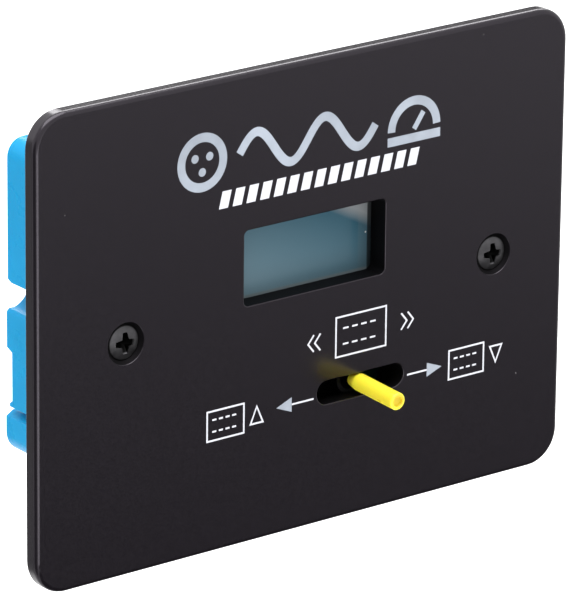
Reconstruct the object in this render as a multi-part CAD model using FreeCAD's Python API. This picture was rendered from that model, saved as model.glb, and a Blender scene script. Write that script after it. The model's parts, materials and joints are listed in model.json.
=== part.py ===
"""Flush-mounted remote power display: a black faceplate with a character display and a toggle,
held in a wall cut-out by an open-backed bracket with two swing clamps.

Frame, in millimetres: X to the right along the plate, Y into the wall, Z up. The origin lies on the wall
surface, midway between the two plate screws. The plate's front faces -Y.
"""

import FreeCAD, Part
import math
import os

V = FreeCAD.Vector
FIT = 0.05  # radial gap round a screw or pin that stays put

# Faceplate
PLATE_W = 119.4
PLATE_H = 88.9
PLATE_T = 2.9
PLATE_X = -1.5  # centre of the plate, measured from the midpoint of its screws
PLATE_Z = 0.56
PLATE_CORNER = 6.6
PLATE_EDGE = 0.9
PLATE_BACK_EDGE = 0.25
OPENING_EDGE = 0.2
FLANGE_T = 1.2
PLATE_BACK = -FLANGE_T
PLATE_FRONT = PLATE_BACK - PLATE_T
BOARD_POST_R = 3.0
DISPLAY_POST_R = 2.9

# Plate screws, No. 6-32 at the device spacing of a single-gang box
SCREW_SPACING = 83.34
SCREW_R = 1.75
SCREW_HEAD_R = 3.3
SCREW_HOLE_R = 2.0
SCREW_DOME = 0.7
SCREW_TIP_R = 1.15
SINK_R = 4.0
SINK_SLOPE = math.tan(math.radians(41.0))
SCREW_END = 14.0
RECESS_SPAN = 4.6
RECESS_DEPTH = 2.3

# Window and display
WINDOW_X = 0.2
WINDOW_Z = 8.57
WINDOW_W = 31.85
WINDOW_H = 14.27
WINDOW_CORNER = 1.0
RIM_GAP = 0.3  # the rim behind an opening stands this far outside its edge
WINDOW_RIM_T = 1.8
DISPLAY_W = 58.0
DISPLAY_H = 32.0
DISPLAY_HOLE_X = 26.5
DISPLAY_HOLE_Z = 13.5
VIEW_W = 38.0
VIEW_H = 16.0
BEZEL_W = 45.0
BEZEL_H = 24.4
BEZEL_FRONT = 0.4
SHEET = 0.5
GLASS_FRONT = BEZEL_FRONT + SHEET
GLASS_W = 42.6
FILM_T = 0.2
PANE_T = 1.1
GLASS_BACK = GLASS_FRONT + FILM_T + 2 * PANE_T
STRIP_H = 2.0
BOARD_T = 1.6
DISPLAY_BOARD_Y = 6.5
DISPLAY_BACK = DISPLAY_BOARD_Y + BOARD_T
DISPLAY_SCREW_R = 1.05
DRIVER_R = 5.5
DRIVER_H = 1.5
PITCH = 2.54
HEADER_X = (-27.1, -27.1 + PITCH)
HEADER_ROWS = 8
PIN_W = 0.46
PIN_HOLE_R = 0.45
TAB_W = 3.0
FILM_W = 41.0
FILM_H = 18.4

# Toggle and its slot
TOGGLE_X = 10.94
TOGGLE_Z = -18.5
SLOT_Z = -18.79
SLOT_W = 19.9
SLOT_H = 4.5
SLOT_RIM_T = 1.0
SLOT_RIM_CORNER = 1.5
PIVOT_Y = 2.2
CAP_BASE_Y = -1.9
CAP_FULL_Y = -3.8  # the cap swells from its base to its full radius here
CAP_TIP_Y = -15.2
CAP_BASE_R = 1.3
CAP_R = 1.65
CAP_DIMPLE = 0.45  # depth of the hollow in the cap's end
CAP_DIMPLE_R = 1.0
CAP_DROOP = 2.4  # degrees that the slipped-on cap hangs below the lever's axis
LEVER_R = 0.95
LEVER_END = -9.0
BALL_R = 1.75
TANG_R = 0.95
TANG_END = 6.0
PLUNGER_R = 0.7
PLUNGER_END = 7.5
ROCKER_Y = 8.3
ROCKER_T = 0.5
SWITCH_W = 12.8
SWITCH_H = 6.8
SWITCH_FRONT = 4.0
COVER_T = 0.5
NECK_R = 3.0
NECK_FRONT = -0.9
NECK_GAP = 0.5  # between the neck and the slot's rim
SWITCH_PITCH = 4.7

# Main board
MAIN_BOARD_Y = 11.5
MAIN_X = 36.5
MAIN_LOW = -26.0
MAIN_HIGH = 24.5
MAIN_BACK = MAIN_BOARD_Y + BOARD_T
MAIN_CORNER_X = -28.6  # the board is cut away here to clear a clamp
MAIN_CORNER_Z = -16.0
POSTS = ((-33.0, -12.0), (33.0, -21.5), (33.0, 14.5), (-33.0, 21.0))
BOARD_SCREW_R = 1.3
JACK_X, JACK_Z = -12.0, 3.0
JACK_W, JACK_H, JACK_D = 13.4, 15.6, 12.0
SOCKET_W, SOCKET_H = 9.8, 6.8
SOCKET_Z = JACK_Z - 1.0
SOCKET_FLOOR = 1.6
CONTACTS = 6
CONTACT_PITCH = 1.02
CHIP_X, CHIP_Z = 13.0, 8.0
CHIP_W, CHIP_H, CHIP_T = 17.9, 7.5, 2.3
CHIP_PITCH = 1.27
LEADS_A_SIDE = 14
REGULATOR_X, REGULATOR_Z = 28.5, 3.0
CAN_X, CAN_Z, CAN_R, CAN_H = 28.0, -10.0, 3.15, 11.0
SLEEVE_T = 0.15
CRYSTAL_X, CRYSTAL_Z = 13.0, -5.0
RESISTOR_PLACES = [(x, 18.0) for x in (-4.0, 0.0, 4.0, 8.0, 12.0, 16.0)]
CAPACITOR_PLACES = [(4.5, -5.0), (21.5, -5.0), (24.5, 8.0), (-12.0, -10.5), (-6.5, -10.5)]

# Wall bracket
BODY_X = 46.5
BODY_LOW = -28.7
BODY_HIGH = 31.0
BODY_MID = (BODY_LOW + BODY_HIGH) / 2
BODY_DEPTH = 25.2
BODY_WALL = 2.2
BODY_CORNER = 3.4
FLANGE_X = 53.0
FLANGE_Z = 34.6
FLANGE_CORNER = 8.0
BOSS_R = 3.8
BOSS_END = 12.0

# Left end wall, from top to bottom: a notch that lets a cable in, a raised lip, a recess and a ledge
NOTCH_HIGH = 4.35
NOTCH_LOW = -0.9
NOTCH_FRONT = 13.5
NOTCH_BEVEL = 0.5
LIP_BACK = BODY_DEPTH + 0.4
RECESS_HIGH = -8.2
RECESS_BACK = BODY_DEPTH - 1.2
LEDGE_TOP = -18.1
LEDGE_BACK = BODY_DEPTH - 0.4
CHUTE_FRONT = 14.0

# Swing clamps, described for the lower left corner; the other is this one turned half round
CLAMP_X = -42.2
CLAMP_Z = -24.6
CLAMP_TOP = -20.5
CLAMP_TIP = -32.0
CLAMP_Y = 15.9
CLAMP_T = 10.0
CLAMP_BACK = CLAMP_Y + CLAMP_T
CLAMP_CORNER = 4.2
CLAMP_TIP_CORNER = 2.0
CLAMP_BEVEL_X = 1.5
CLAMP_BEVEL_Z = 0.9
CLAMP_SLOPE_X = -37.6
GROOVES = (-38.2, -36.6, -35.0)
GROOVE_W = 1.2
GROOVE_D = 0.7
POCKET_STEP_X = -37.5
POCKET_HIGH = -18.9
POCKET_LOW = -20.0
POCKET_END = -30.8
POCKET_WALL = 1.2
WALL_FOOT = -19.3  # the outer wall reaches a little further down than the pocket's ceiling
WEB_T = 2.4
HEAD_SEAT = 0.6
HEAD_R = 2.9
HEAD_T = 1.7


def box(x0, x1, y0, y1, z0, z1):
    return Part.makeBox(x1 - x0, y1 - y0, z1 - z0, V(x0, y0, z0))


def rod(x, z, y0, y1, radius):
    return Part.makeCylinder(radius, y1 - y0, V(x, y0, z), V(0, 1, 0))


def taper(x, z, y0, r0, y1, r1):
    return Part.makeCone(r0, r1, y1 - y0, V(x, y0, z), V(0, 1, 0))


def along_y(edge):
    a, b = edge.Vertexes[0].Point, edge.Vertexes[-1].Point
    return abs(a.x - b.x) < 1e-6 and abs(a.z - b.z) < 1e-6


def rounded(x0, x1, y0, y1, z0, z1, radius):
    block = box(x0, x1, y0, y1, z0, z1)
    return block.makeFillet(radius, [e for e in block.Edges if along_y(e)])


def centred(x, z, w, h, y0, y1, radius=0.0):
    edges = (x - w / 2, x + w / 2, y0, y1, z - h / 2, z + h / 2)
    return rounded(*edges, radius) if radius else box(*edges)


def prism_xy(points, z0, z1):
    """A prism along Z over an outline given as (x, y) points."""
    wire = Part.makePolygon([V(x, y, z0) for x, y in points + points[:1]])
    return Part.Face(wire).extrude(V(0, 0, z1 - z0))


def prism_yz(points, x0, x1):
    """A prism along X over an outline given as (y, z) points."""
    wire = Part.makePolygon([V(x0, y, z) for y, z in points + points[:1]])
    return Part.Face(wire).extrude(V(x1 - x0, 0, 0))


def joined(first, *others):
    return first.multiFuse(list(others)).removeSplitter() if others else first


def cut(solid, *tools):
    for tool in tools:
        solid = solid.cut(tool)
    return solid


def half_turn(shape):
    """The same shape at the other end of the bracket."""
    other = shape.copy()
    other.rotate(V(0, 0, BODY_MID), V(0, 1, 0), 180)
    return other


def both_ends(*shapes):
    """Shapes at the left end of the bracket, and the same ones turned to its right end."""
    return [*shapes, *[half_turn(shape) for shape in shapes]]


def phillips(x, z, y_top, depth, span):
    """The solid that a cross recess takes out of a screw head: a tapering star, narrow at its tips."""
    tip, inner = span * 0.09, span * 0.16
    quarter = [(span / 2, -tip), (span / 2, tip), (inner, inner)]
    outline = []
    for _ in range(4):
        outline += quarter
        quarter = [(-w, u) for u, w in quarter]
    wire = Part.makePolygon([V(u, y_top, w) for u, w in outline + outline[:1]])
    star = Part.Face(wire).extrude(V(0, depth, 0))
    point = Part.makeCone(span / 2, span * 0.1, depth, V(0, y_top, 0), V(0, 1, 0))
    return star.common(point).translated(V(x, 0, z))


# ---- faceplate and its screws


def display_holes():
    return [
        (WINDOW_X + sx * DISPLAY_HOLE_X, WINDOW_Z + sz * DISPLAY_HOLE_Z)
        for sx in (-1, 1)
        for sz in (-1, 1)
    ]


def through_plate(x, z, w, h, corner):
    return centred(x, z, w, h, PLATE_FRONT - 1, PLATE_BACK + 1, corner)


def on_face(edge, y):
    box_mm = edge.BoundBox
    return abs(box_mm.YMax - y) < 1e-6 and abs(box_mm.YMin - y) < 1e-6


def rim(x, z, w, h, corner, wall, end, hole):
    """A sleeve behind an opening in the plate; w, h and corner are those of its inside."""
    outside = centred(x, z, w + 2 * wall, h + 2 * wall, PLATE_BACK - 0.1, end, corner + wall)
    inside = centred(x, z, w, h, PLATE_BACK, end + 1, corner)
    return cut(outside, inside, hole)


def window_rim(hole):
    """Closes the space between the plate and the display."""
    w, h = WINDOW_W + 2 * RIM_GAP, WINDOW_H + 2 * RIM_GAP
    return rim(WINDOW_X, WINDOW_Z, w, h, WINDOW_CORNER + RIM_GAP, WINDOW_RIM_T, BEZEL_FRONT, hole)


def slot_rim(hole):
    """Closes the space between the plate and the switch, clear of the switch's neck."""
    w, h = SLOT_W + 2 * RIM_GAP, 2 * (NECK_R + NECK_GAP)
    end = SWITCH_FRONT - COVER_T - RIM_GAP
    return rim(TOGGLE_X, TOGGLE_Z, w, h, SLOT_RIM_CORNER, SLOT_RIM_T, end, hole)


def faceplate():
    plate = centred(PLATE_X, PLATE_Z, PLATE_W, PLATE_H, PLATE_FRONT, PLATE_BACK, PLATE_CORNER)
    plate = plate.makeFillet(PLATE_EDGE, [e for e in plate.Edges if on_face(e, PLATE_FRONT)])
    plate = plate.makeFillet(PLATE_BACK_EDGE, [e for e in plate.Edges if on_face(e, PLATE_BACK)])
    window = through_plate(WINDOW_X, WINDOW_Z, WINDOW_W, WINDOW_H, WINDOW_CORNER)
    slot = through_plate(TOGGLE_X, SLOT_Z, SLOT_W, SLOT_H, SLOT_H / 2 - 0.001)
    plate = cut(plate, window, slot)
    inner = [e for e in plate.Edges if on_face(e, PLATE_FRONT) and abs(e.BoundBox.Center.x) < WINDOW_W]
    inner = [e for e in inner if abs(e.BoundBox.Center.z) < PLATE_H / 3]
    plate = plate.makeFillet(OPENING_EDGE, inner)
    sink_depth = (SINK_R - SCREW_HOLE_R) / SINK_SLOPE
    for side in (-1, 1):
        x = side * SCREW_SPACING / 2
        sink = taper(x, 0, PLATE_FRONT, SINK_R, PLATE_FRONT + sink_depth, SCREW_HOLE_R)
        plate = cut(plate, sink, rod(x, 0, PLATE_FRONT, PLATE_BACK + 1, SCREW_HOLE_R))
    plate = joined(plate, window_rim(window), slot_rim(slot))
    posts = [rod(x, z, PLATE_BACK, DISPLAY_BOARD_Y, DISPLAY_POST_R) for x, z in display_holes()]
    posts += [rod(x, z, PLATE_BACK, MAIN_BOARD_Y, BOARD_POST_R) for x, z in POSTS]
    pilots = [rod(x, z, 0.0, DISPLAY_BOARD_Y + 1, DISPLAY_SCREW_R + FIT) for x, z in display_holes()]
    pilots += [rod(x, z, 2.5, MAIN_BOARD_Y + 1, BOARD_SCREW_R + FIT) for x, z in POSTS]
    return cut(joined(plate, *posts), *pilots)


def plate_screws():
    """Oval-headed countersunk machine screws that sit just under the plate's face."""
    rim_y = PLATE_FRONT + (SINK_R - SCREW_HEAD_R) / SINK_SLOPE - 0.03
    neck_y = rim_y + (SCREW_HEAD_R - SCREW_R) / SINK_SLOPE
    top_y = rim_y - SCREW_DOME
    arc_r = (SCREW_HEAD_R**2 + SCREW_DOME**2) / (2 * SCREW_DOME)
    half_r = SCREW_HEAD_R / 2
    half_y = top_y + arc_r - math.sqrt(arc_r**2 - half_r**2)
    crown = Part.Arc(V(0, top_y, 0), V(half_r, half_y, 0), V(SCREW_HEAD_R, rim_y, 0)).toShape()
    below = [(SCREW_HEAD_R, rim_y), (SCREW_R, neck_y), (SCREW_R, SCREW_END - 1), (SCREW_TIP_R, SCREW_END)]
    corners = [V(r, y, 0) for r, y in below + [(0, SCREW_END), (0, top_y)]]
    sides = [Part.makeLine(a, b) for a, b in zip(corners, corners[1:])]
    blank = Part.Face(Part.Wire([crown] + sides)).revolve(V(0, 0, 0), V(0, 1, 0), 360)
    screw = cut(blank, phillips(0, 0, top_y - 0.1, RECESS_DEPTH, RECESS_SPAN))
    return Part.makeCompound([screw.translated(V(side * SCREW_SPACING / 2, 0, 0)) for side in (-1, 1)])


# ---- wall bracket and its clamps


def pocket(margin, y0, y1):
    """The corner space of the lower left clamp, grown by a margin on its inner sides."""
    tall = box(-BODY_X - 1, POCKET_STEP_X + margin, y0, y1, BODY_LOW - 1, POCKET_HIGH + margin)
    low = box(-BODY_X - 1, POCKET_END + margin, y0, y1, BODY_LOW - 1, POCKET_LOW + margin)
    return tall.fuse(low).removeSplitter()


def through_end(y0, y1, z0, z1):
    """A box right through the left end wall."""
    return box(-BODY_X - 1, -BODY_X + BODY_WALL + 0.1, y0, y1, z0, z1)


def end_notch():
    """The notch in the end wall, with its bevelled sill and the cut-off corner above it."""
    notch = through_end(NOTCH_FRONT, BODY_DEPTH + 1, NOTCH_LOW, NOTCH_HIGH)
    corner = prism_yz(
        [
            (BODY_DEPTH - 1.4, NOTCH_HIGH - 0.1),
            (BODY_DEPTH + 1, NOTCH_HIGH - 0.1),
            (BODY_DEPTH + 1, NOTCH_HIGH + 0.9),
        ],
        -BODY_X - 1,
        -BODY_X + BODY_WALL + 0.1,
    )
    edge_x = -BODY_X + NOTCH_BEVEL
    bevel = box(edge_x - 3, edge_x, NOTCH_FRONT - 0.1, LIP_BACK + 1, NOTCH_LOW, NOTCH_LOW + 1)
    bevel.rotate(V(edge_x, 0, NOTCH_LOW), V(0, 1, 0), -45)
    return [notch, corner, bevel]


def end_recess():
    """The shallow recess in the back edge of the end wall, above the ledge over the clamp."""
    outline = [
        (LIP_BACK + 1, RECESS_HIGH + 0.3),
        (LIP_BACK, RECESS_HIGH),
        (RECESS_BACK, RECESS_HIGH - 0.65),
        (RECESS_BACK, LEDGE_TOP),
        (LEDGE_BACK, LEDGE_TOP - 0.6),
        (LEDGE_BACK, WALL_FOOT - 0.1),
        (LIP_BACK + 1, WALL_FOOT - 0.1),
    ]
    return prism_yz(outline, -BODY_X - 1, -BODY_X + BODY_WALL + 0.1)


def clamp_holes(x, z):
    """The seat and the hole for a clamp's screw in the pocket's front web."""
    seat = rod(x, z, -FLANGE_T - 1, HEAD_SEAT, HEAD_R + 0.3)
    hole = rod(x, z, HEAD_SEAT - 0.1, WEB_T + 1, SCREW_R + 0.1)
    return [seat, hole]


def cable_chute():
    """A curved web inside the notch that leads a cable in over the sill."""
    top, bottom = NOTCH_LOW + 4.0, NOTCH_LOW - 1.4
    inside, outside = -BODY_X + 4.1, -BODY_X + 5.3
    start, middle, end = V(-BODY_X + 0.5, 0, NOTCH_LOW), V(-BODY_X + 2.9, 0, 0.0), V(inside, 0, 1.4)
    ramp = Part.Arc(start, middle, end).toShape()
    corners = [end, V(inside, 0, top), V(outside, 0, top), V(outside, 0, bottom)]
    corners += [V(-BODY_X + 0.5, 0, bottom), start]
    sides = [Part.makeLine(a, b) for a, b in zip(corners, corners[1:])]
    web = Part.Face(Part.Wire([ramp] + sides)).extrude(V(0, BODY_DEPTH - CHUTE_FRONT, 0))
    return web.translated(V(0, CHUTE_FRONT, 0))


def screw_boss(side):
    """The boss for a plate screw, joined to the end wall beside it."""
    x, wall = side * SCREW_SPACING / 2, side * (BODY_X - 1)
    root = box(min(x, wall), max(x, wall), -FLANGE_T, BOSS_END, -BOSS_R, BOSS_R)
    return rod(x, 0, -FLANGE_T, BOSS_END, BOSS_R).fuse(root)


def wall_bracket():
    outer = rounded(-BODY_X, BODY_X, -FLANGE_T, BODY_DEPTH, BODY_LOW, BODY_HIGH, BODY_CORNER)
    inner = rounded(
        -BODY_X + BODY_WALL,
        BODY_X - BODY_WALL,
        -FLANGE_T - 1,
        BODY_DEPTH + 1,
        BODY_LOW + BODY_WALL,
        BODY_HIGH - BODY_WALL,
        BODY_CORNER - BODY_WALL,
    )
    flange = rounded(
        -FLANGE_X, FLANGE_X, -FLANGE_T, 0, BODY_MID - FLANGE_Z, BODY_MID + FLANGE_Z, FLANGE_CORNER
    )
    pocket_shell = outer.common(pocket(POCKET_WALL, 0, BODY_DEPTH))
    wall_foot = box(-BODY_X, -BODY_X + BODY_WALL, WEB_T, LEDGE_BACK, WALL_FOOT, LEDGE_TOP)
    lip = box(-BODY_X, -BODY_X + BODY_WALL, BODY_DEPTH - 0.1, LIP_BACK, RECESS_HIGH - 1, NOTCH_LOW)
    tube = joined(cut(flange.fuse(outer), inner), screw_boss(-1), screw_boss(1))
    tube = joined(tube, *both_ends(pocket_shell, lip))
    tube = cut(tube, *both_ends(pocket(0, WEB_T, BODY_DEPTH + 1)))
    tube = joined(tube, *both_ends(wall_foot))
    tube = cut(tube, *both_ends(*end_notch(), end_recess(), *clamp_holes(CLAMP_X, CLAMP_Z)))
    for side in (-1, 1):
        tube = cut(tube, rod(side * SCREW_SPACING / 2, 0, -FLANGE_T - 1, BOSS_END + 1, SCREW_R + FIT))
    return joined(tube, *both_ends(cable_chute()))


def swing_clamp():
    """An arm on a hub; its front has grip ridges and its back slopes towards the tip."""
    arm = box(-BODY_X, CLAMP_TIP, CLAMP_Y, CLAMP_BACK, BODY_LOW, CLAMP_TOP)
    upright = [e for e in arm.Edges if along_y(e)]
    low_left = [e for e in upright if e.BoundBox.XMax < -BODY_X + 1 and e.BoundBox.ZMax < BODY_LOW + 1]
    arm = arm.makeFillet(CLAMP_CORNER, low_left)
    tip = [e for e in arm.Edges if along_y(e) and e.BoundBox.XMin > CLAMP_TIP - 0.1]
    arm = arm.makeFillet(CLAMP_TIP_CORNER, tip)
    corner = Part.makePolygon(
        [
            V(-BODY_X, CLAMP_Y - 1, CLAMP_TOP - CLAMP_BEVEL_Z),
            V(-BODY_X, CLAMP_Y - 1, CLAMP_TOP + 1),
            V(-BODY_X + CLAMP_BEVEL_X, CLAMP_Y - 1, CLAMP_TOP + 1),
            V(-BODY_X + CLAMP_BEVEL_X, CLAMP_Y - 1, CLAMP_TOP),
            V(-BODY_X, CLAMP_Y - 1, CLAMP_TOP - CLAMP_BEVEL_Z),
        ]
    )
    bevel = Part.Face(corner).extrude(V(0, CLAMP_T + 2, 0))
    slope = prism_xy(
        [
            (CLAMP_SLOPE_X, CLAMP_BACK + 1),
            (CLAMP_TIP + 1, CLAMP_BACK + 1),
            (CLAMP_TIP + 1, CLAMP_Y + 4.5),
            (CLAMP_SLOPE_X, CLAMP_BACK),
        ],
        BODY_LOW - 1,
        CLAMP_TOP + 1,
    )
    grooves = [
        prism_xy(
            [(x, CLAMP_Y - 1), (x + GROOVE_W, CLAMP_Y - 1), (x + GROOVE_W / 2, CLAMP_Y + GROOVE_D)],
            BODY_LOW - 1,
            CLAMP_TOP + 1,
        )
        for x in GROOVES
    ]
    thread = rod(CLAMP_X, CLAMP_Z, CLAMP_Y - 1, CLAMP_BACK + 1, SCREW_R + FIT)
    return cut(arm, bevel, slope, *grooves, thread)


def clamp_screw():
    top = HEAD_SEAT - HEAD_T
    head = rod(CLAMP_X, CLAMP_Z, top, HEAD_SEAT - FIT, HEAD_R)
    head = head.makeFillet(0.6, [e for e in head.Edges if e.BoundBox.YMax < top + 0.1])
    shank = rod(CLAMP_X, CLAMP_Z, HEAD_SEAT - 0.1, CLAMP_BACK - 0.7, SCREW_R)
    tip = taper(CLAMP_X, CLAMP_Z, CLAMP_BACK - 0.7, SCREW_R, CLAMP_BACK - 0.1, 1.2)
    return cut(joined(head, shank, tip), phillips(CLAMP_X, CLAMP_Z, top - 0.05, 1.5, 3.6))


# ---- display module


def header_places():
    middle = (HEADER_ROWS - 1) / 2
    return [(x, WINDOW_Z + (row - middle) * PITCH) for x in HEADER_X for row in range(HEADER_ROWS)]


def bezel_tabs():
    """Centres of the four tabs that hold the bezel to its board."""
    return [(WINDOW_X + sx * 12.0, WINDOW_Z + sz * (BEZEL_H - SHEET) / 2) for sx in (-1, 1) for sz in (-1, 1)]


def over_display(w, h, y0, y1, corner=0.0):
    return centred(WINDOW_X, WINDOW_Z, w, h, y0, y1, corner)


def display_board():
    board = over_display(DISPLAY_W, DISPLAY_H, DISPLAY_BOARD_Y, DISPLAY_BACK, 0.8)
    front, back = DISPLAY_BOARD_Y - 1, DISPLAY_BACK + 1
    holes = [rod(x, z, front, back, DISPLAY_SCREW_R + 0.2) for x, z in display_holes()]
    holes += [rod(x, z, front, back, PIN_HOLE_R) for x, z in header_places()]
    holes += [centred(x, z, TAB_W + 0.4, SHEET + 0.4, front, back) for x, z in bezel_tabs()]
    return cut(board, *holes)


def display_bezel():
    shell = over_display(BEZEL_W, BEZEL_H, BEZEL_FRONT, DISPLAY_BOARD_Y, 1.0)
    shell = shell.makeFillet(0.35, [e for e in shell.Edges if e.BoundBox.YMax < BEZEL_FRONT + 0.01])
    hollow = over_display(BEZEL_W - 2 * SHEET, BEZEL_H - 2 * SHEET, GLASS_FRONT, DISPLAY_BOARD_Y + 1, 0.5)
    view = over_display(VIEW_W, VIEW_H, BEZEL_FRONT - 1, GLASS_FRONT + 1, 0.5)
    tabs = [centred(x, z, TAB_W, SHEET, DISPLAY_BOARD_Y - 1, DISPLAY_BACK + 0.9) for x, z in bezel_tabs()]
    return joined(cut(shell, hollow, view), *tabs)


def display_polariser():
    return over_display(FILM_W, FILM_H, GLASS_FRONT, GLASS_FRONT + FILM_T)


def display_glass():
    """Two panes, of which the rear one is taller and carries the contacts."""
    front_y = GLASS_FRONT + FILM_T
    front = over_display(GLASS_W, 19.6, front_y, front_y + PANE_T)
    rear = over_display(GLASS_W, 22.6, front_y + PANE_T, GLASS_BACK)
    return joined(front, rear)


def display_backlight():
    return over_display(GLASS_W, VIEW_H + 0.2, GLASS_BACK, DISPLAY_BOARD_Y, 1.0)


def zebra_strips():
    height = (VIEW_H + 0.2 + STRIP_H) / 2 + 0.8
    strips = [
        centred(WINDOW_X, WINDOW_Z + side * height, 40.0, STRIP_H, GLASS_BACK, DISPLAY_BOARD_Y)
        for side in (-1, 1)
    ]
    return Part.makeCompound(strips)


def display_drivers():
    """Domes of black resin over the two driver chips on the back of the display's board."""
    sphere_r = (DRIVER_R**2 + DRIVER_H**2) / (2 * DRIVER_H)
    domes = []
    for x in (WINDOW_X - 9.0, WINDOW_X + 9.0):
        ball = Part.makeSphere(sphere_r, V(x, DISPLAY_BACK - sphere_r + DRIVER_H, WINDOW_Z))
        reach = 2 * DRIVER_R + 3
        domes.append(ball.common(centred(x, WINDOW_Z, reach, reach, DISPLAY_BACK, DISPLAY_BACK + 3)))
    return Part.makeCompound(domes)


def pan_screw(x, z, seat, head_r, head_t, shank_r, end):
    """A pan-headed screw driven towards -Y, its head behind the seat."""
    head = rod(x, z, seat, seat + head_t, head_r)
    head = head.makeFillet(head_t * 0.45, [e for e in head.Edges if e.BoundBox.YMin > seat + head_t - 0.01])
    tip = taper(x, z, end, 0.4, end + 1.0, shank_r)
    cross = phillips(0, 0, -0.01, 0.9, head_r * 1.3)
    cross.rotate(V(0, 0, 0), V(0, 0, 1), 180)
    cross.translate(V(x, seat + head_t, z))
    return cut(joined(head, rod(x, z, end + 1.0, seat, shank_r), tip), cross)


def display_screws():
    return Part.makeCompound(
        [pan_screw(x, z, DISPLAY_BACK, 2.1, 1.4, DISPLAY_SCREW_R, 0.6) for x, z in display_holes()]
    )


def board_header():
    low, high = header_places()[0], header_places()[-1]
    half = PITCH / 2
    block = box(low[0] - half, high[0] + half, DISPLAY_BACK, MAIN_BOARD_Y, low[1] - half, high[1] + half)
    return cut(block, *[rod(x, z, DISPLAY_BACK - 1, MAIN_BOARD_Y + 1, 0.36) for x, z in header_places()])


def header_pins():
    pins = [
        centred(x, z, PIN_W, PIN_W, DISPLAY_BOARD_Y - 1.0, MAIN_BACK + 1.0) for x, z in header_places()
    ]
    return Part.makeCompound(pins)


# ---- main board and what is soldered to it


def switch_pins():
    return [(TOGGLE_X + i * SWITCH_PITCH, TOGGLE_Z) for i in (-1, 0, 1)]


def main_board():
    front, back = MAIN_BOARD_Y - 1, MAIN_BACK + 1
    board = box(-MAIN_X, MAIN_X, MAIN_BOARD_Y, MAIN_BACK, MAIN_LOW, MAIN_HIGH)
    corner = box(-MAIN_X - 1, MAIN_CORNER_X, front, back, MAIN_LOW - 1, MAIN_CORNER_Z)
    holes = [rod(x, z, front, back, BOARD_SCREW_R + 0.2) for x, z in POSTS]
    holes += [rod(x, z, front, back, PIN_HOLE_R) for x, z in header_places()]
    holes += [rod(x, z, front, back, 0.75) for x, z in switch_pins()]
    return cut(board, *both_ends(corner), *holes)


def main_board_screws():
    return Part.makeCompound([pan_screw(x, z, MAIN_BACK, 2.6, 1.6, BOARD_SCREW_R, 3.2) for x, z in POSTS])


def cable_jack():
    """A six-way modular socket that opens towards the back of the wall."""
    mouth = MAIN_BACK + JACK_D
    floor = MAIN_BACK + SOCKET_FLOOR
    shell = centred(JACK_X, JACK_Z, JACK_W, JACK_H, MAIN_BACK, mouth, 0.6)
    shell = shell.makeFillet(0.4, [e for e in shell.Edges if e.BoundBox.YMin > mouth - 0.01])
    socket = centred(JACK_X, SOCKET_Z, SOCKET_W, SOCKET_H, floor, mouth + 1)
    contacts = centred(JACK_X, SOCKET_Z + SOCKET_H / 2 + 1.0, 7.2, 2.2, floor, mouth + 1)
    latch = centred(JACK_X, SOCKET_Z - SOCKET_H / 2 - 0.7, 6.2, 1.6, MAIN_BACK + 4, mouth + 1)
    key = centred(JACK_X, SOCKET_Z - SOCKET_H / 2 - 1.9, 3.2, 1.2, MAIN_BACK + 4, mouth + 1)
    return cut(shell, socket, contacts, latch, key)


def jack_contacts():
    """Six spring wires that slope down into the socket from its upper edge."""
    top = SOCKET_Z + SOCKET_H / 2
    y0, y1 = MAIN_BACK + 1.8, MAIN_BACK + JACK_D - 0.8
    outline = [(y1, top + 1.9), (y1, top + 1.5), (y0, top - 1.6), (y0, top - 1.2)]
    wires = []
    for i in range(CONTACTS):
        x = JACK_X + (i - (CONTACTS - 1) / 2) * CONTACT_PITCH
        wires.append(prism_yz(outline, x - 0.22, x + 0.22))
    return Part.makeCompound(wires)


def controller_chip():
    y0 = MAIN_BACK + 0.15
    chip = centred(CHIP_X, CHIP_Z, CHIP_W, CHIP_H, y0, y0 + CHIP_T)
    chip = chip.makeChamfer(0.3, [e for e in chip.Edges if e.BoundBox.YMin > y0 + CHIP_T - 0.1])
    return cut(chip, rod(CHIP_X - 7.6, CHIP_Z - 2.3, y0 + CHIP_T - 0.2, y0 + CHIP_T + 1, 0.7))


def controller_leads():
    """Gull-wing leads along both long sides of the chip."""
    leads = []
    for side in (-1, 1):
        near, knee, far = (CHIP_Z + side * reach for reach in (CHIP_H / 2, 4.3, 5.1))
        outline = [
            (MAIN_BACK + 1.4, near),
            (MAIN_BACK + 1.15, near),
            (MAIN_BACK + 1.15, knee - side * 0.12),
            (MAIN_BACK, knee + side * 0.1),
            (MAIN_BACK, far),
            (MAIN_BACK + 0.22, far),
            (MAIN_BACK + 0.22, knee + side * 0.3),
            (MAIN_BACK + 1.4, knee + side * 0.1),
        ]
        for i in range(LEADS_A_SIDE):
            x = CHIP_X + (i - (LEADS_A_SIDE - 1) / 2) * CHIP_PITCH
            leads.append(prism_yz(outline, x - 0.2, x + 0.2))
    return Part.makeCompound(leads)


def voltage_regulator():
    return centred(REGULATOR_X, REGULATOR_Z, 6.5, 3.5, MAIN_BACK + 0.1, MAIN_BACK + 1.7)


def regulator_leads():
    """Three legs below the regulator and its wide tab above."""
    y0, y1 = MAIN_BACK, MAIN_BACK + 0.7
    legs = [centred(REGULATOR_X + i * 2.3, REGULATOR_Z - 2.55, 0.7, 1.6, y0, y1) for i in (-1, 0, 1)]
    return Part.makeCompound([*legs, centred(REGULATOR_X, REGULATOR_Z + 2.55, 3.0, 1.6, y0, y1)])


def capacitor_can():
    """A can with a cross scored in its end."""
    can = rod(CAN_X, CAN_Z, MAIN_BACK + 0.3, MAIN_BACK + CAN_H, CAN_R - SLEEVE_T)
    y0, y1 = MAIN_BACK + CAN_H - 0.25, MAIN_BACK + CAN_H + 1
    return cut(can, centred(CAN_X, CAN_Z, 4.0, 0.24, y0, y1), centred(CAN_X, CAN_Z, 0.24, 4.0, y0, y1))


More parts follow.
